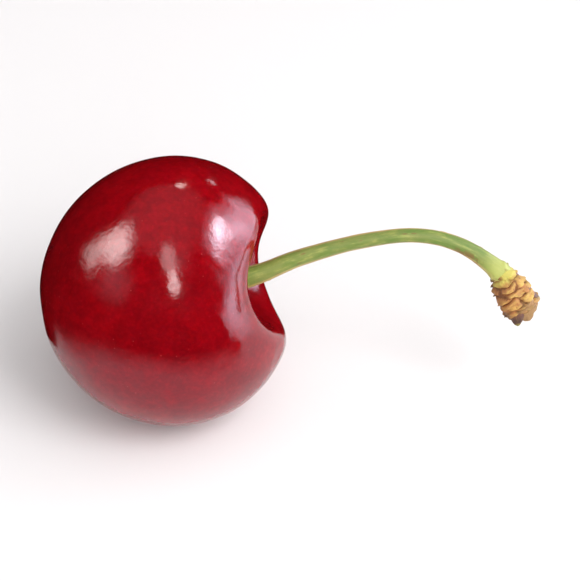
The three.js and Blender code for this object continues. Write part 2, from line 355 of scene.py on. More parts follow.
def sheet_faces(rows, columns, start=0, turned=False):
    """Quads over a sheet of points, which face the other way when turned."""
    step = columns + 1
    second, last = (step, 1) if turned else (1, step)
    return [
        (corner, corner + second, corner + step + 1, corner + last)
        for row in range(rows)
        for corner in range(start + row * step, start + row * step + columns)
    ]


def round_grid(rings, sides):
    """The given numbers against even turns round a circle, as two grids."""
    return np.meshgrid(rings, np.linspace(0, FULL_TURN, sides, endpoint=False), indexing="ij")


def hump(distance, width):
    """1 at no distance, falling softly to 0 over the width."""
    return np.exp(-((distance / width) ** 2))


def noise(seed, points, size, layers=1, fade=0.5):
    """Smooth seeded noise from -1 to 1 over points in space, in layers that each halve in size."""
    table = np.random.default_rng(seed).uniform(-1, 1, (32, 32, 32))
    total, most = 0, 0
    for layer in range(layers):
        cell = (points + 7.3 * layer) / (size / 2 ** layer)
        base = np.floor(cell).astype(int)
        part = cell - base
        part = part * part * (3 - 2 * part)
        value = 0
        for corner in np.ndindex(2, 2, 2):
            x, y, z = np.moveaxis((base + corner) % 32, -1, 0)
            weight = np.prod(np.where(np.array(corner) == 1, part, 1 - part), axis=-1)
            value = value + weight * table[x, y, z]
        total = total + fade ** layer * value
        most += fade ** layer
    return total / most


def unit(vectors):
    return vectors / np.linalg.norm(vectors, axis=-1, keepdims=True)


def ramp(value, low, high):
    part = np.clip((value - low) / (high - low), 0, 1)
    return part * part * (3 - 2 * part)


# ---- The fruit ----

def fruit_turn():
    """The fruit's frame in the part's frame, as a matrix of columns."""
    lean = math.radians(90 - AXIS_RISE)
    roll = math.radians(CHEEK_ROLL)
    return np.array(Matrix.Rotation(lean, 3, "Y") @ Matrix.Rotation(roll, 3, "Z"))


def skin_points(sizes, latitude, turn):
    """Points of the skin in the fruit's frame, in millimetres."""
    half_length = sizes.half_length / MM
    height = np.sin(latitude)
    girth = np.cos(latitude) * (1 + SHOULDER_FULLNESS * height + END_FULLNESS * height ** 2)
    x = sizes.thickness / MM / 2 * girth * np.cos(turn)
    y = sizes.cheek_width / MM / 2 * girth * np.sin(turn)
    seam = np.maximum(0, -np.cos(turn)) * hump(y, SEAM_WIDTH)
    groove = 1 - seam * sizes.seam_depth / (sizes.thickness / 2)
    x = x * groove
    y = y * groove

    from_axis = np.hypot(x, y)
    pit = sizes.pit_depth / MM * np.exp(-((from_axis / (sizes.pit_radius / MM)) ** PIT_STEEPNESS))
    outward = (from_axis / SADDLE_RADIUS) ** 2
    seam_side = 1 - SADDLE_SEAM_SHARE * np.cos(turn)
    saddle = sizes.saddle_depth / MM * seam_side * np.cos(turn) ** 2 * outward * np.exp(1 - outward)
    scar = SCAR_DEPTH * hump(from_axis, SCAR_RADIUS)
    stalk_end = 1 / (1 + np.exp(-height * END_BLEND))
    shoulder = 0
    for (over, along), rise, spread in SHOULDERS:
        shoulder = shoulder + rise * hump(np.hypot(x - over, y - along), spread)
    z = EQUATOR + half_length * height
    z = z + (1 - stalk_end) * scar - stalk_end * (pit + saddle + RIM_LEAN * x - shoulder)

    points = np.stack([x, y, z], -1)
    facing = unit(points)
    for direction, depth, spread in SOFT_FLATS:
        away = 1 - facing @ unit(direction)
        points = points * (1 - depth / half_length * np.exp(-away / spread))[..., None]
    return points


def build_fruit(sizes):
    # Rings crowd together in the pit, where the form turns fastest.
    poles = np.array([-math.pi / 2, math.pi / 2])
    even = np.linspace(*poles, FRUIT_RINGS + 2)
    crowded = even + RING_CROWDING * (1 + np.sin(even)) * np.cos(even)
    points = skin_points(sizes, *round_grid(crowded[1:-1], FRUIT_SIDES)).reshape(-1, 3)
    place = np.concatenate([points, skin_points(sizes, poles, np.zeros(2))])

    # Soft swellings and shallow dents, along the way the skin faces.
    swell = sizes.swell / MM
    from_axis = np.hypot(place[:, 0], place[:, 1])
    open_skin = ramp(from_axis, 2, 6)
    rise = swell * noise(11, place, 5.2, 2)
    rise += FINE_SWELL * swell * noise(12, place, 1.7)
    rise -= DENTS * swell * ramp(noise(13, place, 2.6), 0.45, 0.9)
    place = place + unit(place) * (rise * open_skin)[:, None]

    # The skin's lip round the stalk's foot, and the folds that run up the pit from it.
    stalk_side = ramp(place[:, 2], 0, 3)
    around = np.arctan2(place[:, 1], place[:, 0])
    lip_at = LIP[0] + 0.12 * np.sin(3 * around + 1) + 0.08 * np.sin(5 * around)
    lip = sizes.collar / MM * hump(from_axis - lip_at, LIP[1])
    count, high, radius, wide = PIT_FOLDS
    folds = high * np.sin(count * around + 2 * np.sin(3 * around)) * hump(from_axis - radius, wide)
    place[:, 2] += stalk_side * (lip + folds)

    # The little raised nub in the scar at the blossom end.
    blossom_side = ramp(-place[:, 2], 8, 11)
    depth, radius, width = NUB_GROOVE
    nub = NUB[0] * hump(from_axis, NUB[1]) - depth * hump(from_axis - radius, width)
    place[:, 2] -= blossom_side * nub

    where = place @ fruit_turn().T + FRUIT_MIDDLE
    where[:, 2] = np.maximum(where[:, 2], 0)
    return add_mesh("cherry_fruit", where, ring_faces(FRUIT_RINGS, FRUIT_SIDES), place)


# ---- The line of the stalk ----

class Course:
    """The line of the stalk and its woody end, with a frame at any distance from the foot."""

    def __init__(self):
        fruit = bpy.context.scene.cherry_fruit
        axis = fruit_turn()[:, 2]
        floor = EQUATOR + (fruit.half_length - fruit.pit_depth) / MM
        knots = np.array([axis * (floor - FOOT_DEPTH), *STALK_COURSE])
        padded = np.array([2 * knots[0] - knots[1], *knots, 2 * knots[-1] - knots[-2]])
        part = np.linspace(0, 1, COURSE_STEPS + 1)[:-1, None]
        line = []
        for step in range(len(knots) - 1):
            before, start, end, after = padded[step:step + 4]
            pull = (end - before) / 2
            push = (after - start) / 2
            line.append(
                start + pull * part
                + (3 * (end - start) - 2 * pull - push) * part ** 2
                + (2 * (start - end) + pull + push) * part ** 3
            )
        self.line = np.concatenate([*line, knots[-1:]])
        steps = np.linalg.norm(np.diff(self.line, axis=0), axis=1)
        self.reach = np.concatenate([[0], np.cumsum(steps)])
        self.neck = self.reach[-1] - SPUR_LENGTH

    def on_line(self, distance):
        return np.stack([np.interp(distance, self.reach, self.line[:, k]) for k in range(3)], -1)

    def frame_at(self, distance):
        """Centre, ahead, side and below at distances from the foot, in the part's frame."""
        distance = np.asarray(distance, float)
        on = np.clip(distance, 0, self.reach[-1])
        near = np.clip(distance, 0.05, self.reach[-1] - 0.05)
        ahead = unit(self.on_line(near + 0.05) - self.on_line(near - 0.05))
        centre = self.on_line(on) + ahead * (distance - on)[..., None]
        level = np.array([0.0, 1.0, 0.0])
        side = unit(level - ahead * (ahead @ level)[..., None])
        return centre + FRUIT_MIDDLE, ahead, side, np.cross(side, ahead)


def outwards(side, below, turn):
    return side * np.cos(turn)[..., None] + below * np.sin(turn)[..., None]


def wrapped(radius, turn, reach):
    """Texture coordinates round a barrel of that radius, with the reach along it."""
    return np.stack([np.cos(turn) * radius, np.sin(turn) * radius, reach], -1)


# ---- The stalk ----

def stalk_radius(sizes, reach, to_neck, turn):
    flare = sizes.foot_flare / MM * np.exp(-reach / FOOT_FLARE_LENGTH)
    flange = FOOT_FLANGE * hump(reach, FOOT_FLANGE_LENGTH)
    neck = sizes.neck_flare / MM * np.exp(to_neck / NECK_FLARE_LENGTH)
    rib = 1 + sizes.rib * np.cos(RIBS * (turn + RIB_TWIST * reach))
    return (sizes.radius / MM + flare + flange + neck) * rib


def build_stalk(sizes, course):
    whole = course.neck + NECK_OVERLAP
    reach, turn = round_grid(np.linspace(0, whole, STALK_RINGS), STALK_SIDES)
    centre, ahead, side, below = course.frame_at(reach)
    to_neck = reach - course.neck
    radius = stalk_radius(sizes, reach, to_neck, turn)

    # Fine lengthwise wrinkles, low lumps, and small raised breathing pores.
    wrap = wrapped(0.9, turn, reach)
    wrinkles = noise(21, wrap * (1, 1, 0.09), 0.24)
    lumps = noise(22, wrap * (1, 1, 0.6), 1.3, 2)
    pores = ramp(noise(23, wrap * (1, 1, 0.5), 0.42), 0.62, 0.95)
    radius = radius + STALK_WRINKLE * wrinkles + STALK_LUMP * lumps + STALK_PORE * pores

    # A ragged lip where the green stalk leaves the wood, and a fluted foot.
    lip = NECK_LIP[0] * hump(to_neck + 0.35 + 0.2 * np.sin(3 * turn), NECK_LIP[1])
    count, rise, fade = FOOT_FLUTES
    radius = radius + lip + rise * np.cos(count * turn + 0.7) * np.exp(-reach / fade)
    points = centre + outwards(side, below, turn) * radius[..., None]
    points = np.concatenate([points.reshape(-1, 3), [centre[0, 0], centre[-1, 0]]])
    place = np.concatenate([wrap.reshape(-1, 3), [[0, 0, 0], [0, 0, whole]]])
    neck = np.concatenate([to_neck.ravel(), [-course.neck, NECK_OVERLAP]])
    faces = ring_faces(STALK_RINGS, STALK_SIDES)
    return add_mesh("cherry_stalk", points, faces, place, to_neck=neck)


# ---- The woody end ----

def scar_ring(reach, turn):
    """Height of the scar rings, from 0 to 1: each rises slowly and drops at its lip."""
    wave = 0.22 * np.sin(2 * turn + 0.8) + 0.16 * np.sin(3 * turn + 1.8 * reach)
    phase = reach / RING_SPACING + wave + 1
    part = phase - np.floor(phase)
    ring = np.where(part < RING_RISE, part / RING_RISE, (1 - part) / (1 - RING_RISE))
    return ring * (0.75 + 0.25 * np.sin(4 * turn + 1.4 * reach))


def spur_radius(sizes, reach, turn):
    """Radius of the woody end with its rings, and the height of the rings there."""
    swell = ramp(reach, 0, SPUR_SWELL)
    close = ramp(reach, SPUR_LENGTH - SPUR_CLOSE, SPUR_LENGTH)
    barrel = SPUR_NECK_RADIUS + (sizes.radius / MM - SPUR_NECK_RADIUS) * swell
    unevenness = SPUR_UNEVENNESS * swell * np.sin(2 * turn + reach)
    ring = scar_ring(reach, turn)
    barrel = barrel + (SPUR_END_RADIUS - barrel) * close
    return barrel + sizes.ring_height / MM * (ring - 0.5) + unevenness, ring


def scale_scars(reach, turn):
    """Worn bud-scale scars, as slanting folds: how far each place is from the crease between two
    scars, and how far along its own scar, both from 0 to 1."""
    draw = np.random.default_rng(SCAR_SEED)
    nearest = np.full(reach.shape, 9.0)
    second = nearest.copy()
    along = nearest.copy()
    for row in range(-1, 8):
        for column in range(SCARS_ROUND):
            root = SCAR_ROW * (row + 0.5 + draw.uniform(-0.3, 0.3))
            around = (column + 0.5 * (row % 2) + draw.uniform(-0.3, 0.3)) * FULL_TURN / SCARS_ROUND
            slant = draw.uniform(*SCAR_SLANT)
            over = (turn - around + math.pi) % FULL_TURN - math.pi
            beyond = reach - root - slant * over
            distance = np.hypot(beyond * draw.uniform(1.1, 1.6), over * draw.uniform(0.7, 1.1))
            closer = distance < nearest
            second = np.where(closer, nearest, np.minimum(second, distance))
            along = np.where(closer, beyond, along)
            nearest = np.where(closer, distance, nearest)
    return ramp(second - nearest, 0, 0.5), np.clip(along / SCAR_ROW + 0.5, 0, 1)


def build_woody_end(sizes, course):
    reach, turn = round_grid(np.linspace(-0.1, SPUR_LENGTH, SPUR_RINGS), SPUR_SIDES)
    radius, ring = spur_radius(sizes, reach, turn)

    # The rings are worn down between the scars of the scales, whose lips stand a little proud.
    wrap = wrapped(1.7, turn, reach)
    bark = noise(31, wrap, 0.75, 3, 0.6)
    fibres = noise(32, wrap * (1, 1, 0.3), 0.28, 2)
    pits = ramp(noise(33, wrap, 0.4), 0.35, 0.8)
    lumps = noise(36, wrap, 1.1)
    folds = noise(37, wrap, 0.9, 2)
    scar, along = scale_scars(reach + 0.3 * folds + 0.06 * bark, turn + 0.22 * lumps)
    grown = ramp(reach, -0.1, 0.9)
    rings = sizes.ring_height / MM * (ring - 0.5)
    worn = RING_LIP * rings * ramp(lumps, -0.5, 0.6) - (1 - RING_KEPT) * rings
    scars = SCAR_FOLD_HEIGHT * (scar - 0.8) + SCAR_TILT_HEIGHT * scar * (along - 0.5)
    rough = sizes.roughness / MM * (bark + 0.9 * lumps + 0.35 * fibres - 0.6 * pits)
    radius = radius + grown * (worn + scars + rough)
    overhang = SCAR_OVERHANG * grown * scar * along ** 2

    centre, ahead, side, below = course.frame_at(course.neck + reach + overhang)
    points = centre + outwards(side, below, turn) * radius[..., None]

    # The broken end: a torn rim with a hollow pith.
    hub, forward, *_ = course.frame_at(course.neck + SPUR_LENGTH)
    every = [*points]
    for inward in np.linspace(0.12, 0.92, CAP_RINGS):
        flat = points[-1] + (hub - points[-1]) * inward
        torn = TORN_HEIGHT * noise(34, flat, 0.45, 2)
        torn = torn + TORN_RIM * math.sin(inward * math.pi) - HOLLOW_DEPTH * inward ** 3
        every.append(flat + forward * torn[:, None])
    ends = [centre[0, 0], hub - forward * HUB_DEPTH]
    where = np.concatenate([np.array(every).reshape(-1, 3), ends])

    high = 0.62 * scar ** 0.8 + 0.2 * along + 0.12 * ring + 0.3 * bark - 0.3 * pits
    cap = np.ones(CAP_RINGS * SPUR_SIDES)
    caps = [wrap[-1] * (0.9 - 0.08 * k, 0.9 - 0.08 * k, 1) for k in range(CAP_RINGS)]
    place = np.concatenate([wrap.reshape(-1, 3), *caps, [[0, 0, 0], [0, 0, SPUR_LENGTH]]])
    return add_mesh(
        "woody_end", where, ring_faces(SPUR_RINGS + CAP_RINGS, SPUR_SIDES), place,
        height=np.concatenate([high.ravel(), 0.35 * cap, [0, 0]]),
        reach=np.concatenate([reach.ravel(), (SPUR_LENGTH + 0.2) * cap, [0, SPUR_LENGTH]]),
    )


def bud_scale(sizes, course, scale, seed):
    """A curled flake rooted in the wood: its points, their texture places, how far up each is."""
    reach, around, size, width, thickness, lift, dried = scale
    up, over = np.meshgrid(np.arange(SCALE_ROWS + 1) / SCALE_ROWS,
                           2 * np.arange(SCALE_COLUMNS + 1) / SCALE_COLUMNS - 1, indexing="ij")
    blunt = (1 - up ** SCALE_BLUNTNESS) ** 0.7
    edge = np.sqrt(np.maximum(0, 1 - over * over))
    deep = edge * thickness / 2 * (1 - up) ** 0.7
    points = np.array([
        np.stack([over * blunt * width / 2, up * (size + SCALE_ROOT), face * deep], -1)
        for face in (1, -1)
    ]).reshape(-1, 3)
    up = np.tile(up.ravel(), 2)
    over = np.tile(np.abs(over).ravel(), 2)

    # The blade cups round the wood, curls at its tip, and has a torn edge.
    cup = SCALE_CUP / max(width, 0.5) * points[:, 0] ** 2
    curl = SCALE_CURL * up ** 2 * (1 if lift > 0 or dried else -1)
    grain = noise(100 + seed, points * (1, 0.45, 1), 0.3, 3, 0.6)
    points[:, 2] += -cup + curl + SCALE_GRAIN * grain * (0.3 + up)
    points[:, 0] += SCALE_SIDE_TEAR * noise(100 + seed, points + 5, 0.45, 2) * over * (1 - up)
    points[:, 1] += SCALE_TIP_TEAR * noise(100 + seed, points + 9, 0.4, 2) * up ** 2

    turn = np.array(math.radians(around))
    centre, ahead, side, below = course.frame_at(course.neck + reach)
    out = outwards(side, below, turn)
    tilt = math.radians(lift)
    tip = ahead * math.cos(tilt) + out * math.sin(tilt)
    across = unit(np.cross(tip, out))
    radius = spur_radius(sizes, reach, turn)[0]
    root = centre + out * (radius - thickness / 2) - tip * SCALE_ROOT
    return root + points @ np.array([across, tip, np.cross(across, tip)]), points + 3.1 * seed, up


def build_bud_scales(sizes, course, dried):
    half = (SCALE_ROWS + 1) * (SCALE_COLUMNS + 1)
    one = sheet_faces(SCALE_ROWS, SCALE_COLUMNS)
    one += sheet_faces(SCALE_ROWS, SCALE_COLUMNS, half, turned=True)
    one += [(k, half + k, half + k + 1, k + 1) for k in range(SCALE_COLUMNS)]
    faces, parts, reaches = [], [], []
    for seed, scale in enumerate(BUD_SCALES):
        if scale[6] == dried:
            faces += [tuple(2 * half * len(parts) + index for index in face) for face in one]
            parts.append(bud_scale(sizes, course, scale, seed))
            reaches.append(scale[0] + scale[2] * parts[-1][2])
    where, place, up = (np.concatenate(part) for part in zip(*parts))
    name = "dried_bud_scales" if dried else "bud_scales"
    return add_mesh(name, where, faces, place, height=0.4 + 0.3 * up, reach=np.concatenate(reaches))


# ---- Materials ----

class Nodes:
    """Short ways to add and join the nodes of one tree."""

    def __init__(self, tree):
        self.tree = tree

    def put(self, socket, value):
        if isinstance(value, bpy.types.NodeSocket):
            self.tree.links.new(value, socket)
        elif socket.type == "RGBA":
            socket.default_value = (*value, 1)
        else:
            socket.default_value = value

    def add(self, kind, *values, named=None, **settings):
        """A node with its settings, the values of its first sockets, and those of named sockets."""
        node = self.tree.nodes.new("ShaderNode" + kind)
        for key, value in settings.items():
            setattr(node, key, value)
        for socket, value in zip(node.inputs, values):
            self.put(socket, value)
        for key, value in (named or {}).items():
            self.put(node.inputs[key], value)
        return node

    def math(self, operation, *values, clamp=False):
        return self.add("Math", *values, operation=operation, use_clamp=clamp).outputs[0]

    def times(self, product, *factors):
        for factor in factors:
            product = self.math("MULTIPLY", product, factor)
        return product

    def plus(self, base, value, share, clamp=False):
        """The base plus so large a share of the value."""
        return self.math("MULTIPLY_ADD", value, share, base, clamp=clamp)

    def parts(self, vector):
        return self.add("SeparateXYZ", vector).outputs

    def stretch(self, vector, *shares):
        return self.add("VectorMath", vector, shares, operation="MULTIPLY").outputs[0]

    def along(self, vector, direction):
        node = self.add("VectorMath", vector, direction, operation="DOT_PRODUCT")
        return node.outputs["Value"]

    def ramp(self, value, low, high, start=0, end=1):
        """From start to end, softly, as the value goes from low to high."""
        return self.add("MapRange", value, low, high, start, end,
                        interpolation_type="SMOOTHSTEP").outputs[0]

    def noise(self, vector, per_mm, detail=3, roughness=0.6, distortion=0):
        return self.add("TexNoise", vector, named={
            "Scale": per_mm, "Detail": detail, "Roughness": roughness, "Distortion": distortion,
        }).outputs["Fac"]

    def attribute(self, name, output="Fac"):
        return self.add("Attribute", attribute_name=name).outputs[output]

    def paint(self, tone, *coats):
        """A tone under coats of colour, each with its mask and the share of it that covers."""
        for mask, share, colour, *blend in coats:
            node = self.add("Mix", self.times(mask, share) if share < 1 else mask,
                            data_type="RGBA", blend_type=(blend or ["MIX"])[0])
            under, over = (socket for socket in node.inputs if socket.type == "RGBA")
            self.put(under, tone)
            self.put(over, colour)
            tone = next(socket for socket in node.outputs if socket.type == "RGBA")
        return tone

    def mask(self, name, fill, place, values):
        """A mask from a node group that is made once, with a place and named values as inputs."""
        tree = bpy.data.node_groups.get(name) or node_group(name, fill, values)
        return self.add("Group", place, *values.values(), node_tree=tree).outputs[0]

    def specks(self, place, **values):
        return self.mask("Scattered specks", speck_mask, place, values)

    def mottle(self, place, **values):
        return self.mask("Soft mottling", mottle_mask, place, values)


def node_group(name, fill, labels):
    tree = bpy.data.node_groups.new(name, "ShaderNodeTree")
    socket = tree.interface.new_socket
    socket("Place", in_out="INPUT", socket_type="NodeSocketVector")
    for label in labels:
        label = label.replace("_", " ").capitalize()
        socket(label, in_out="INPUT", socket_type="NodeSocketFloat")
    socket("Mask", in_out="OUTPUT", socket_type="NodeSocketFloat")
    given = tree.nodes.new("NodeGroupInput").outputs[:1 + len(labels)]
    mask = fill(Nodes(tree), *given)
    tree.links.new(mask, tree.nodes.new("NodeGroupOutput").inputs["Mask"])
    return tree


def speck_mask(n, place, per_mm, radius, share):
    """Small round specks, scattered over a share of the cells, on any grown surface."""
    cells = n.add("TexVoronoi", feature="F1", named={"Vector": place, "Scale": per_mm})
    dot = n.ramp(cells.outputs["Distance"], radius, n.times(radius, 0.35))
    chance = n.add("SeparateColor", cells.outputs["Color"]).outputs[0]
    return n.times(dot, n.math("LESS_THAN", chance, share))


def mottle_mask(n, place, per_mm, contrast, level):
    """Soft cloudy mottling at one size, from 0 to 1."""
    cloud = n.noise(place, per_mm, 3, 0.55, distortion=0.3)
    return n.plus(level, n.math("SUBTRACT", cloud, 0.5), contrast, clamp=True)


class Surface(Nodes):
    """The nodes of a new material, round its shader."""

    def __init__(self, name, **values):
        self.material = bpy.data.materials.new(name)
        self.material.use_nodes = True
        super().__init__(self.material.node_tree)
        self.wear(**values)

    def wear(self, **values):
        shader = self.tree.nodes["Principled BSDF"]
        for key, value in values.items():
            self.put(shader.inputs[key.replace("_", " ")], value)

    def finish(self, tone, roughness, height, relief):
        """The material with its colour, its roughness and a relief of so many millimetres."""
        bump = self.add("Bump", 1, relief * MM, named={"Height": height})
        self.wear(Base_Color=tone, Roughness=roughness, Normal=bump.outputs[0])
        return self.material


def skin_material(hues):
    n = Surface("Ripe cherry skin", Specular_Tint=(0.95, 0.84, 1), Subsurface_Weight=0.6,
                Subsurface_Radius=(1, 0.12, 0.1), Subsurface_Scale=3 * MM)
    place = n.attribute("place", "Vector")
    x, y, z = n.parts(place)
    from_axis = n.math("POWER", n.math("ADD", n.times(x, x), n.times(y, y)), 0.5)
    broad = n.mottle(place, per_mm=0.11, contrast=2.4, level=0.5)
    patches = n.mottle(place, per_mm=0.34, contrast=2, level=0.42)
    streaks = n.mottle(n.stretch(place, 1, 1, 0.12), per_mm=0.8, contrast=2.2, level=0.45)
    small = n.mottle(place, per_mm=1.1, contrast=4, level=0.3)
    fine = n.noise(place, per_mm=2.6)
    # Painted shade: the skin darkens to the ripe red towards the shaded side.
    ripest = n.ramp(n.along(place, SHADED_SIDE), 4, 12.5, 0, 0.85)
    blossom_end = n.ramp(z, -4, -12.5, 0, 0.6)

    # Pale breathing specks of two sizes.
    dots = n.specks(place, per_mm=1.15, radius=0.11, share=0.42)
    more = n.specks(n.stretch(place, 1.13, 0.91, 1.07), per_mm=1.9, radius=0.12, share=0.3)
    dots = n.math("ADD", n.times(dots, 0.5), n.times(more, 0.3), clamp=True)

    # The pit: painted shade down its wall, with ochre tissue round the stalk's foot.
    stalk_side = n.ramp(z, 0, 4)
    edge = n.plus(from_axis, n.noise(place, per_mm=1.6), 0.9)
    pit_shade = n.times(stalk_side, n.ramp(from_axis, 5.6, 2.6))
    tissue = n.times(stalk_side, n.ramp(edge, 3, 2.55))

    # The seam, and the tan scar at the blossom end.
    seam = n.times(n.math("LESS_THAN", x, 0), n.ramp(n.math("ABSOLUTE", y), 0.75, 0.1),
                   n.ramp(from_axis, 1, 4))
    scar = n.times(n.ramp(z, -6, -10), n.ramp(edge, 1.15, 0.75))
    tone = n.paint(
        hues.skin,
        (broad, 0.5, hues.ripe),
        (n.math("MAXIMUM", ripest, blossom_end), 1, hues.ripe),
        (patches, 0.4, hues.bright),
        (streaks, 0.28, hues.ripe),
        (n.ramp(fine, 0.35, 0.75), 0.3, hues.bright),
        (small, 0.4, hues.ripe),
        (dots, 0.5, hues.speck),
        (pit_shade, 0.45, hues.ripe),
        (tissue, 1, hues.tissue),
        (seam, 0.6, hues.ripe),
        (scar, 1, hues.tissue),
    )

    # Glossy with a faint bloom, and duller on the ring and the scar.
    bloom = n.ramp(n.noise(place, per_mm=0.5), 0.3, 0.8, 0.1, 0.16)
    roughness = n.plus(bloom, n.math("MAXIMUM", tissue, scar), 0.5)

    # Fine dimples, like a very soft orange peel, with the specks standing a little proud.
    crinkled = n.mottle(place, per_mm=0.16, contrast=5, level=0.55)
    peel = n.times(n.noise(place, per_mm=1.7), crinkled, n.ramp(z, 5, 1))
    height = n.plus(n.noise(place, per_mm=0.85, detail=2, roughness=0.5), peel, 0.42)
    return n.finish(tone, roughness, n.plus(height, dots, 0.12), relief=0.032)


def stalk_material(hues):
    n = Surface("Green stalk", Specular_IOR_Level=0.35, Subsurface_Weight=0.15,
                Subsurface_Radius=(0.5, 0.6, 0.2), Subsurface_Scale=0.5 * MM)
    place = n.attribute("place", "Vector")
    to_neck = n.attribute("to_neck")
    reach = n.parts(place)[2]
    fibres = n.noise(n.stretch(place, 1, 1, 0.16), per_mm=3.6, detail=4)
    broad = n.mottle(n.stretch(place, 1, 1, 0.6), per_mm=0.6, contrast=2.6, level=0.5)
    patches = n.mottle(n.stretch(place, 1, 1, 0.7), per_mm=1.6, contrast=5, level=0.45)
    flecks = n.specks(n.stretch(place, 1, 1, 0.35), per_mm=1.7, radius=0.27, share=0.5)

    # A thin blush along the two edges that had most and least sun, and brown under the neck.
    across = n.along(place, BLUSH_EDGE)
    edge = n.plus(n.math("ABSOLUTE", across), n.math("SUBTRACT", fibres, 0.5), 0.16)
    under = n.times(n.ramp(across, 0.15, 0.7), n.ramp(to_neck, -6.5, -5),
                    n.ramp(to_neck, -2, -3.2), n.ramp(patches, 0.2, 0.7))
    tone = n.paint(
        hues.green,
        (n.ramp(fibres, 0.35, 0.7), 1, hues.deep),
        (n.ramp(fibres, 0.48, 0.36), 0.3, hues.pale),
        (patches, 0.65, hues.deep),
        (broad, 0.18, hues.blush),
        (n.ramp(edge, 0.74, 0.86), 0.7, hues.blush),
        (n.ramp(reach, 15, 7), 0.15, hues.pale),
        (n.ramp(to_neck, -3.6, -0.2), 0.8, hues.pale),
        (under, 0.75, hues.fleck),
        (n.ramp(reach, 3, 1.2), 0.4, hues.blush),
        (flecks, 0.6, hues.fleck),
    )
    height = n.plus(n.plus(fibres, flecks, 0.5), n.noise(place, per_mm=5), 0.4)
    return n.finish(tone, n.ramp(fibres, 0.3, 0.7, 0.42, 0.6), height, relief=0.04)


def bark_material(hues):
    n = Surface("Woody end bark")
    place = n.attribute("place", "Vector")
    reach = n.attribute("reach")
    grain = n.noise(n.stretch(place, 1, 1, 0.45), per_mm=3.4, detail=4, roughness=0.65)
    swing = n.math("SUBTRACT", grain, 0.5)
    patches = n.mottle(place, per_mm=0.9, contrast=3, level=0.45)
    pits = n.specks(place, per_mm=2.4, radius=0.3, share=0.3)
    level = n.plus(n.attribute("height"), swing, 0.8)
    # Painted light: raised places on the lit side get the ochre as a painted highlight, and the
    # side turned away gets the ruddy orange as painted shade.
    turned = n.plus(n.along(place, LIT_SIDE), swing, 1.6)
    lit = n.times(n.ramp(level, 0.5, 0.95), n.ramp(turned, -1.6, 0.6, 0.35, 1))

    # Weathered to a dull brown towards the broken end, and young and green next to the stalk.
    # Painted shade round the stalk's foot, on the side turned from the light.
    collar = n.times(n.ramp(n.plus(reach, grain, 0.3), 0.62, 0.3), n.ramp(turned, 0.2, -0.7))
    tone = n.paint(
        hues.tan,
        (n.ramp(turned, 0.6, -0.6), 1, hues.ruddy_shade),
        # Painted shade in the low places between the scars.
        (n.ramp(level, 0.5, 0.1), 1, hues.crease),
        (lit, 1, hues.ochre),
        (patches, 0.25, hues.crease, "MULTIPLY"),
        (n.ramp(n.plus(reach, patches, 1.2), 4, 5.4), 0.8, hues.weathered),
        (n.ramp(n.plus(reach, grain, 1.2), 1.8, 0.9), 0.85, hues.young),
        (collar, 0.85, hues.crease),
        (pits, 0.6, hues.crease),
    )
    height = n.plus(grain, n.noise(place, per_mm=7, detail=4, roughness=0.65), 0.6)
    roughness = n.ramp(grain, 0.3, 0.7, 0.62, 0.85)
    return n.finish(tone, roughness, n.plus(height, pits, -0.5), relief=0.09)


def dried_material(hues):
    n = Surface("Dried bud scale")
    place = n.attribute("place", "Vector")
    up = n.attribute("height")
    fibres = n.noise(n.stretch(place, 1, 0.25, 1), per_mm=5, detail=4, roughness=0.65)
    spots = n.specks(place, per_mm=3, radius=0.25, share=0.3)
    tone = n.paint(
        hues.dried,
        (n.ramp(fibres, 0.45, 0.75), 0.35, hues.tan),
        (n.ramp(up, 0.65, 0.52), 0.8, hues.purple),
        (n.mottle(place, per_mm=1.3, contrast=3, level=0.4), 0.25, hues.tan),
        (n.ramp(up, 0.655, 0.69), 0.5, hues.young),
        (spots, 0.4, hues.dried),
    )
    roughness = n.ramp(fibres, 0.3, 0.7, 0.5, 0.75)
    return n.finish(tone, roughness, n.plus(fibres, spots, 0.4), relief=0.08)


def dress(piece, material, node):
    piece.data.materials.append(material)
    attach(piece, "root")
    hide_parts(node)


# ---- The studio ----

def studio_direction(studio, azimuth, elevation):
    """A direction from the fruit. azimuth is in degrees from the camera's side, to its right."""
    turn = studio.camera_azimuth + math.radians(azimuth)
    rise = math.radians(elevation)
    return Vector((math.sin(turn) * math.cos(rise), -math.cos(turn) * math.cos(rise),
                   math.sin(rise)))


def add_lamp(studio, name, shine, azimuth, elevation, wide, high, radiance, soft, warm,
             distance=LAMP_DISTANCE):
    """A lamp that faces the fruit and fades to its edges, for gloss if it has shine, and else for
    soft light."""
    away = distance * MM
    lamp = bpy.data.lights.new(name, "AREA")
    lamp.shape = "RECTANGLE"
    lamp.size, lamp.size_y = (
        2 * away * math.tan(math.radians(span) / 2) for span in (wide, high))
    lamp.energy = radiance * studio.light * math.pi * lamp.size * lamp.size_y
    lamp.color = (1, 1 - 0.05 * warm, 1 - 0.2 * warm)
    lamp.use_nodes = True
    n = Nodes(lamp.node_tree)
    glow = 1
    for place in n.parts(n.add("NewGeometry").outputs["Parametric"])[:2]:
        off_middle = n.math("ABSOLUTE", n.math("SUBTRACT", place, 0.5))
        glow = n.times(n.ramp(off_middle, 0.5, 0.5 - soft), glow)
    n.put(lamp.node_tree.nodes["Emission"].inputs["Strength"], glow)
    holder = add_object(name, lamp)
    way = studio_direction(studio, azimuth, elevation)
    holder.location = Vector(FRUIT_MIDDLE * MM) + way * away
    holder.rotation_mode = "QUATERNION"
    holder.rotation_quaternion = (-way).to_track_quat("-Z", "Y")
    holder.visible_diffuse = not shine
    holder.visible_glossy = shine


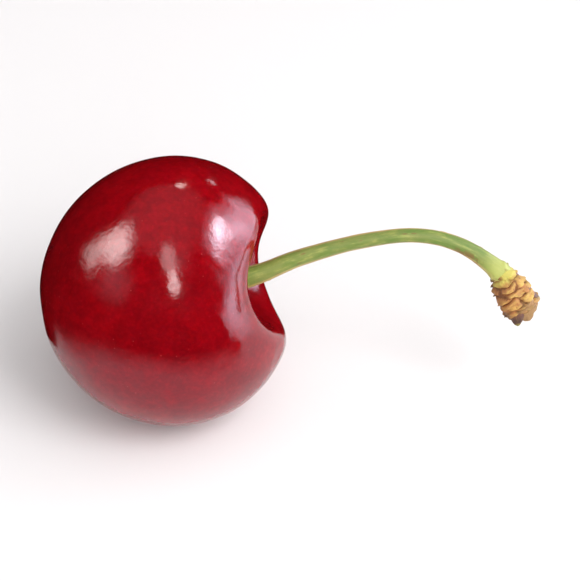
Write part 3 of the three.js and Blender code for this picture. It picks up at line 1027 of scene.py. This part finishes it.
def studio_world(studio):
    """Pale to the camera, soft light all round, and in gloss a ceiling open at the back."""
    world = bpy.data.worlds.new("Studio")
    world.use_nodes = True
    world.node_tree.nodes.clear()
    n = Nodes(world.node_tree)
    where = n.add("TexCoord").outputs["Generated"]
    turned = n.add("VectorRotate", rotation_type="Z_AXIS",
                   named={"Vector": where, "Angle": -studio.camera_azimuth})
    x, y, z = n.parts(turned.outputs[0])
    level = n.times(n.math("ARCSINE", z), math.degrees(1))
    azimuth = n.times(n.math("ARCTAN2", x, n.times(y, -1)), math.degrees(1))
    off_front = n.math("ABSOLUTE", n.math("ADD", azimuth, 20))
    raised = n.ramp(off_front, 60, 25, 0, 20)
    overhead = n.ramp(n.math("SUBTRACT", level, raised), 41, 50)
    ceiling = n.times(overhead, n.ramp(z, 0.7, 1, *CEILING_LIGHT))
    grey = n.plus(ROOM_LIGHT, ceiling, studio.light)
    lean = n.plus(n.plus(1, y, LIGHT_LEAN[1]), x, LIGHT_LEAN[0])
    soft = n.times(lean, SOFT_LIGHT * studio.light)
    path = n.add("LightPath").outputs
    strength = n.plus(soft, path["Is Glossy Ray"], n.math("SUBTRACT", grey, soft))
    room = n.add("Background", (1, 0.985, 0.975), strength)
    white = n.add("Background", (1, 1, 1), 1)
    mixed = n.add("MixShader", path["Is Camera Ray"], room.outputs[0], white.outputs[0])
    n.add("OutputWorld", mixed.outputs[0])
    world.cycles.sampling_method = "NONE"
    bpy.context.scene.world = world


def dark_card(studio):
    """A low black card round the cherry's front and left, in its gloss only. Its foot fades in, so
    that the floor shows softly in the skin."""
    azimuths = np.linspace(CARD_COURSE[0][0], CARD_COURSE[-1][0], CARD_COLUMNS)
    turns, *rows = zip(*CARD_COURSE)
    radii, tops, spreads = (np.interp(azimuths, turns, row) for row in rows)
    ways = np.array([studio_direction(studio, azimuth, 0) for azimuth in azimuths])
    levels = [height * spreads + CARD_LIFT for height, dense in CARD_FOOT]
    levels += [height + tops for height, dense in CARD_TOP]
    points = np.concatenate([
        ways * radii[:, None] + FRUIT_MIDDLE * (1, 1, 0) + level[:, None] * (0, 0, 1)
        for level in levels
    ])
    fades = np.repeat([dense for height, dense in CARD_FOOT + CARD_TOP], CARD_COLUMNS)
    card = add_mesh("dark_card", points, sheet_faces(len(levels) - 1, CARD_COLUMNS - 1), fade=fades)
    black = Surface("Black card", Base_Color=(0.004, 0.004, 0.004), Roughness=0.9,
                    Specular_IOR_Level=0)
    black.wear(Alpha=black.attribute("fade"))
    card.data.materials.append(black.material)
    for rays in ("camera", "diffuse", "shadow", "transmission"):
        setattr(card, "visible_" + rays, False)


def build_studio(studio):
    corners = np.array([(-1, -1, 0), (1, -1, 0), (1, 1, 0), (-1, 1, 0)]) * FLOOR_SPAN
    floor = add_mesh("floor", corners, [(0, 1, 2, 3)])
    pale = Surface("Pale floor", Base_Color=studio.floor, Roughness=0.9, Specular_IOR_Level=0.2)
    floor.data.materials.append(pale.material)
    dark_card(studio)
    for shine, lamps in ((True, GLOSS_LAMPS), (False, LIGHT_LAMPS)):
        for name, values in lamps.items():
            add_lamp(studio, name, shine, *values)
    studio_world(studio)

    lens = bpy.data.cameras.new("camera")
    lens.lens = studio.lens
    lens.sensor_width = 36
    lens.clip_start, lens.clip_end = 0.01, 10
    camera = add_object("camera", lens)
    towards = studio_direction(studio, 0, math.degrees(studio.camera_elevation))
    right = Vector((math.cos(studio.camera_azimuth), math.sin(studio.camera_azimuth), 0))
    up = towards.cross(right)
    middle = Vector(FRUIT_MIDDLE * MM)
    camera.location = middle + towards * studio.camera_distance
    aim = middle + right * CAMERA_AIM[0] * MM + up * CAMERA_AIM[1] * MM
    # It pans about its own upright, so that upright lines stay as seen at the fruit.
    back = (camera.location - aim).normalized()
    across = up.cross(back).normalized()
    turned = Matrix((across, back.cross(across), back)).transposed()
    camera.rotation_mode = "QUATERNION"
    camera.rotation_quaternion = turned.to_quaternion()
    scene = bpy.context.scene
    scene.camera = camera
    scene.view_settings.view_transform = "Standard"
    scene.view_settings.look = "None"


# ---- Operators ----

class CHERRY_OT_fruit(Operator):
    """Build the fruit with its pit, seam and scar"""
    bl_idname = "cherry.fruit"
    bl_label = "Cherry fruit"

    def execute(self, context):
        sizes = context.scene.cherry_fruit
        dress(build_fruit(sizes), skin_material(sizes), "fruit")
        return {"FINISHED"}


class CHERRY_OT_stalk(Operator):
    """Build the green stalk from its foot in the pit to its neck"""
    bl_idname = "cherry.stalk"
    bl_label = "Green stalk"

    def execute(self, context):
        sizes = context.scene.cherry_stalk
        dress(build_stalk(sizes, Course()), stalk_material(sizes), "stalk")
        return {"FINISHED"}


class CHERRY_OT_woody_end(Operator):
    """Build the ringed woody end where the stalk came off its spur"""
    bl_idname = "cherry.woody_end"
    bl_label = "Woody end"

    def execute(self, context):
        sizes = context.scene.cherry_woody_end
        dress(build_woody_end(sizes, Course()), bark_material(sizes), "spur_end")
        return {"FINISHED"}


class CHERRY_OT_bud_scales(Operator):
    """Build the bud scales that are left on the woody end"""
    bl_idname = "cherry.bud_scales"
    bl_label = "Bud scales"

    def execute(self, context):
        sizes = context.scene.cherry_woody_end
        bark = bpy.data.materials.get("Woody end bark") or bark_material(sizes)
        for dried, material in ((False, bark), (True, dried_material(sizes))):
            dress(build_bud_scales(sizes, Course(), dried), material, "spur_end")
        return {"FINISHED"}


class CHERRY_OT_studio(Operator):
    """Build the floor, the soft lamps and the camera"""
    bl_idname = "cherry.studio"
    bl_label = "Studio"

    def execute(self, context):
        build_studio(context.scene.cherry_studio)
        return {"FINISHED"}


class CHERRY_PT_panel(Panel):
    """Sizes, colours and build buttons for the cherry"""
    bl_idname = "CHERRY_PT_panel"
    bl_label = "Cherry on its stalk"
    bl_space_type = "VIEW_3D"
    bl_region_type = "UI"
    bl_category = "Cherry"

    def draw(self, context):
        for key, (settings, *operators) in SETTINGS.items():
            box = self.layout.box()
            for name in settings.__annotations__:
                box.prop(getattr(context.scene, key), name)
            for operator in operators:
                box.operator(operator.bl_idname)


# The settings in the scene, each with the operators that build from them.
SETTINGS = {
    "cherry_fruit": (CherryFruitSettings, CHERRY_OT_fruit),
    "cherry_stalk": (CherryStalkSettings, CHERRY_OT_stalk),
    "cherry_woody_end": (CherryWoodyEndSettings, CHERRY_OT_woody_end, CHERRY_OT_bud_scales),
    "cherry_studio": (CherryStudioSettings, CHERRY_OT_studio),
}
CLASSES = [*(one for group in SETTINGS.values() for one in group), CHERRY_PT_panel]


def register():
    for one in CLASSES:
        bpy.utils.register_class(one)
    for key, (settings, *operators) in SETTINGS.items():
        setattr(bpy.types.Scene, key, bpy.props.PointerProperty(type=settings))


def unregister():
    for key in SETTINGS:
        delattr(bpy.types.Scene, key)
    for one in reversed(CLASSES):
        bpy.utils.unregister_class(one)


def main():
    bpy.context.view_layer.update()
    register()
    bpy.ops.cherry.studio()
    bpy.ops.cherry.fruit()
    bpy.ops.cherry.stalk()
    bpy.ops.cherry.woody_end()
    bpy.ops.cherry.bud_scales()


if __name__ == "__main__":
    main()
